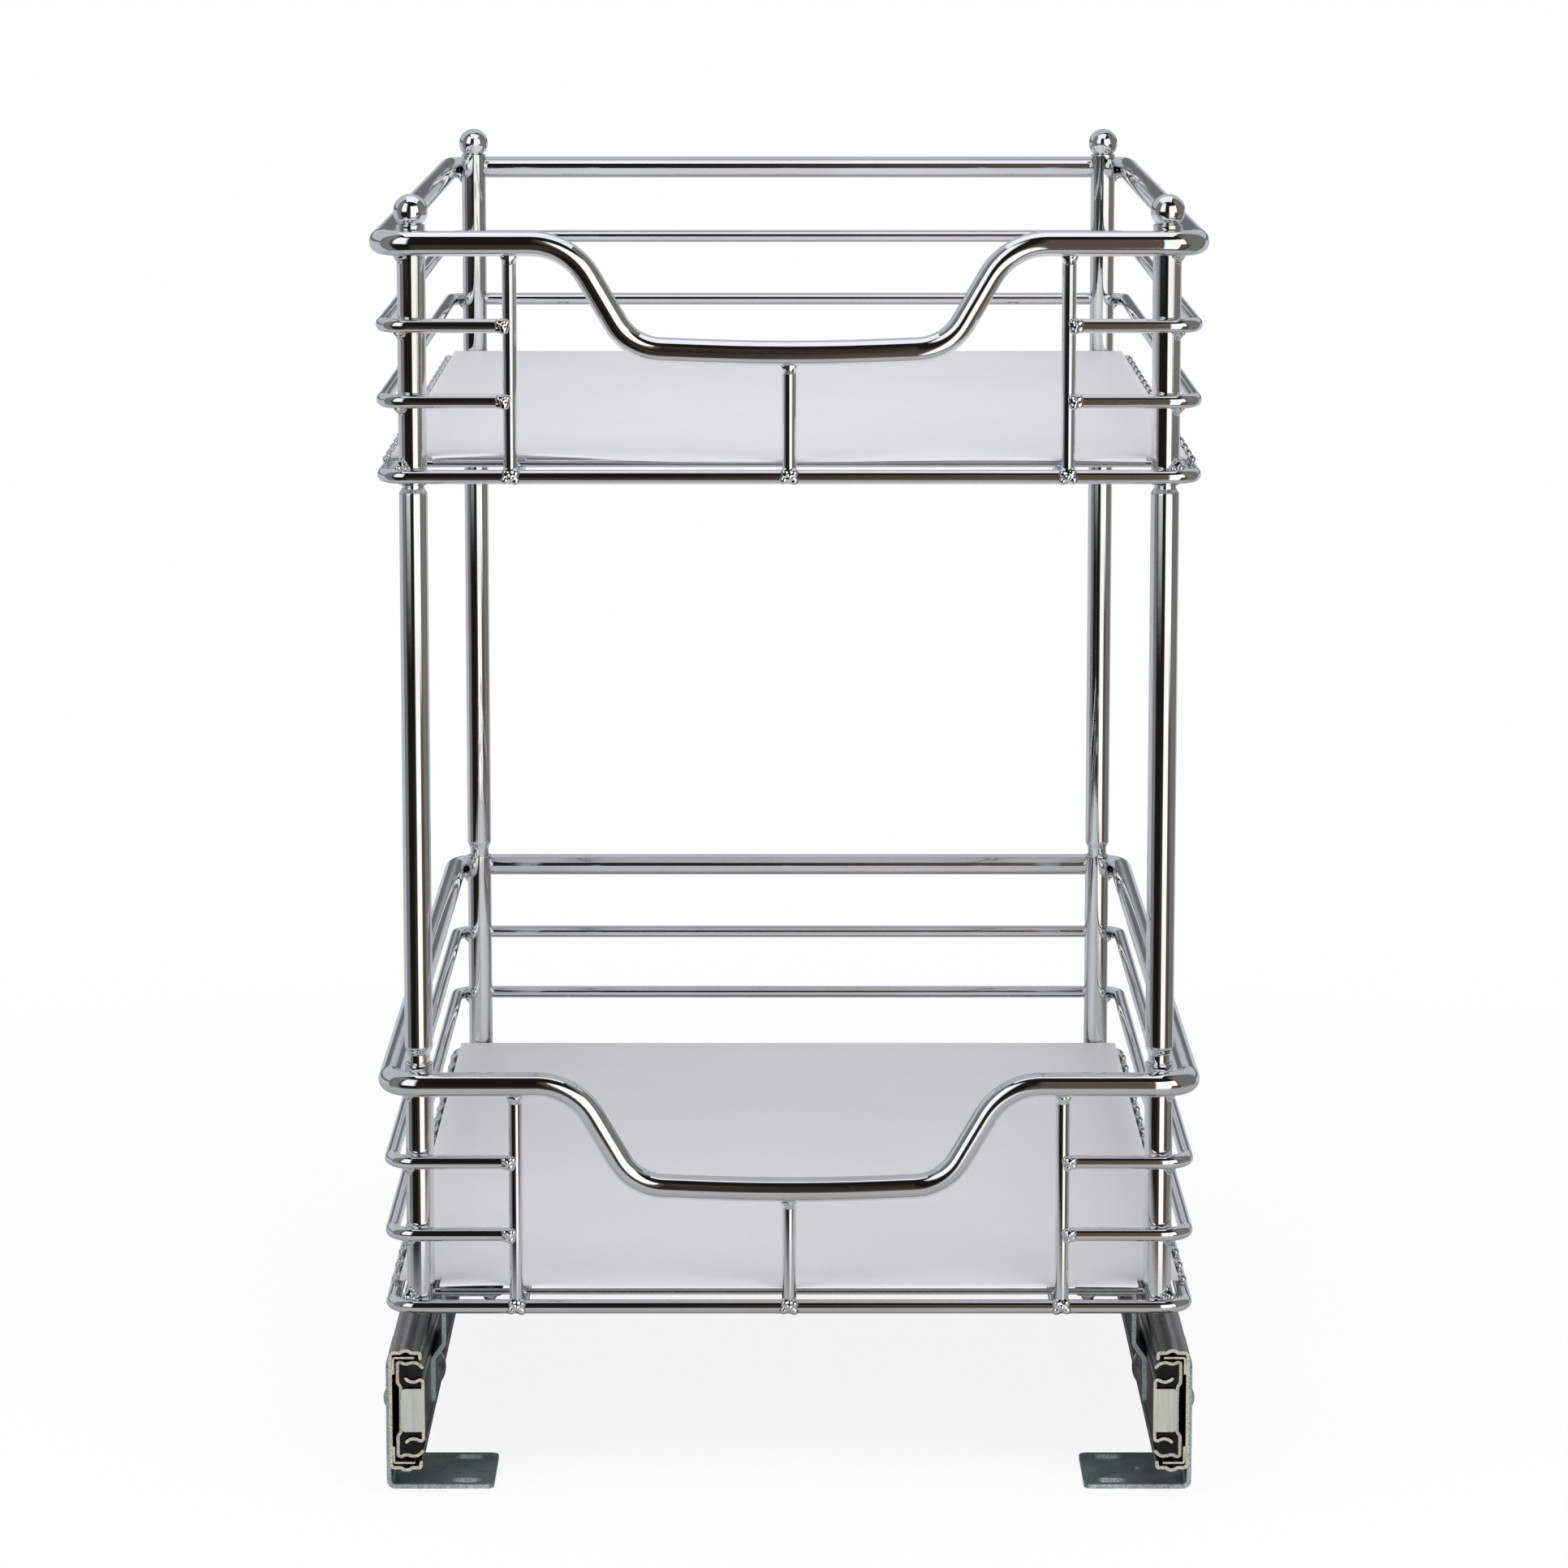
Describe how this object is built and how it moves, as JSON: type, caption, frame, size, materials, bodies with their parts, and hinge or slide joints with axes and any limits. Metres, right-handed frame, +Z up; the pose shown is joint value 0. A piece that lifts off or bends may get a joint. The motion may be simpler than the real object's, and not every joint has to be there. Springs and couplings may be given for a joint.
{
  "type": "pull-out cabinet organizer",
  "caption": "Tiered chrome wire basket organizer that pulls out of a kitchen cabinet on ball-bearing slides, with ball-topped corner posts and slotted floor brackets.",
  "frame": {"origin": "centre of the footprint on the cabinet floor, under the floor brackets", "axes": "+Z up, -Y the way the baskets pull out, +X to the right seen from the front"},
  "size_m": [0.292, 0.452, 0.4628],
  "materials": {
    "chrome_wire": "polished",
    "zinc_slide": "satin zinc plating",
    "plated_bracket": "satin zinc plating",
    "plated_fastener": "bright zinc plating",
    "bearing_steel": "polished",
    "black_plastic": "matte",
    "liner_plastic": "fine grain, translucent"
  },
  "bodies": {
    "cabinet_side": {"bracket_rivets": "plated_fastener", "front_left_floor_bracket": "plated_bracket", "front_right_floor_bracket": "plated_bracket", "left_outer_member": "zinc_slide", "rear_left_floor_bracket": "plated_bracket", "rear_right_floor_bracket": "plated_bracket", "right_outer_member": "zinc_slide"},
    "left_intermediate": {"left_intermediate_member": "zinc_slide", "left_bumper": "black_plastic"},
    "left_outer_cage": {"left_outer_ball_strip": "zinc_slide", "left_outer_balls": "bearing_steel"},
    "left_inner_cage": {"left_inner_ball_strip": "zinc_slide", "left_inner_balls": "bearing_steel"},
    "right_intermediate": {"right_intermediate_member": "zinc_slide", "right_bumper": "black_plastic"},
    "right_outer_cage": {"right_outer_ball_strip": "zinc_slide", "right_outer_balls": "bearing_steel"},
    "right_inner_cage": {"right_inner_ball_strip": "zinc_slide", "right_inner_balls": "bearing_steel"},
    "carriage": {"carrier_screws": "plated_fastener", "front_left_carrier": "plated_bracket", "front_left_finial": "chrome_wire", "front_left_long_tube": "chrome_wire", "front_right_carrier": "plated_bracket", "front_right_finial": "chrome_wire", "front_right_long_tube": "chrome_wire", "grid_clamps": "plated_bracket", "grid_screws": "plated_fastener", "left_inner_member": "zinc_slide", "lower_bottom_rail": "chrome_wire", "lower_corner_sockets": "chrome_wire", "lower_floor_wires": "chrome_wire", "lower_front_uprights": "chrome_wire", "lower_high_side_wire": "chrome_wire", "lower_liner": "liner_plastic", "lower_low_side_wire": "chrome_wire", "lower_support_wires": "chrome_wire", "lower_top_rail": "chrome_wire", "rear_left_carrier": "plated_bracket", "rear_left_finial": "chrome_wire", "rear_left_long_tube": "chrome_wire", "rear_right_carrier": "plated_bracket", "rear_right_finial": "chrome_wire", "rear_right_long_tube": "chrome_wire", "right_inner_member": "zinc_slide", "upper_bottom_rail": "chrome_wire", "upper_corner_sockets": "chrome_wire", "upper_floor_wires": "chrome_wire", "upper_front_uprights": "chrome_wire", "upper_high_side_wire": "chrome_wire", "upper_liner": "liner_plastic", "upper_low_side_wire": "chrome_wire", "upper_support_wires": "chrome_wire", "upper_top_rail": "chrome_wire"}
  },
  "joints": [
    {"name": "carriage_slide", "type": "slide", "parent": "cabinet_side", "child": "carriage", "axis": [0, -1, 0], "range_m": [0, 0.45]},
    {"name": "left_intermediate_slide", "type": "slide", "parent": "cabinet_side", "child": "left_intermediate", "axis": [0, -1, 0], "range_m": [0, 0.225]},
    {"name": "left_outer_cage_slide", "type": "slide", "parent": "cabinet_side", "child": "left_outer_cage", "axis": [0, -1, 0], "range_m": [0, 0.1125]},
    {"name": "left_inner_cage_slide", "type": "slide", "parent": "cabinet_side", "child": "left_inner_cage", "axis": [0, -1, 0], "range_m": [0, 0.3375]},
    {"name": "right_intermediate_slide", "type": "slide", "parent": "cabinet_side", "child": "right_intermediate", "axis": [0, -1, 0], "range_m": [0, 0.225]},
    {"name": "right_outer_cage_slide", "type": "slide", "parent": "cabinet_side", "child": "right_outer_cage", "axis": [0, -1, 0], "range_m": [0, 0.1125]},
    {"name": "right_inner_cage_slide", "type": "slide", "parent": "cabinet_side", "child": "right_inner_cage", "axis": [0, -1, 0], "range_m": [0, 0.3375]}
  ],
  "couplings": [
    {"joint": "left_intermediate_slide", "follows": "carriage_slide", "ratio": 0.5},
    {"joint": "left_outer_cage_slide", "follows": "carriage_slide", "ratio": 0.25},
    {"joint": "left_inner_cage_slide", "follows": "carriage_slide", "ratio": 0.75},
    {"joint": "right_intermediate_slide", "follows": "carriage_slide", "ratio": 0.5},
    {"joint": "right_outer_cage_slide", "follows": "carriage_slide", "ratio": 0.25},
    {"joint": "right_inner_cage_slide", "follows": "carriage_slide", "ratio": 0.75}
  ]
}
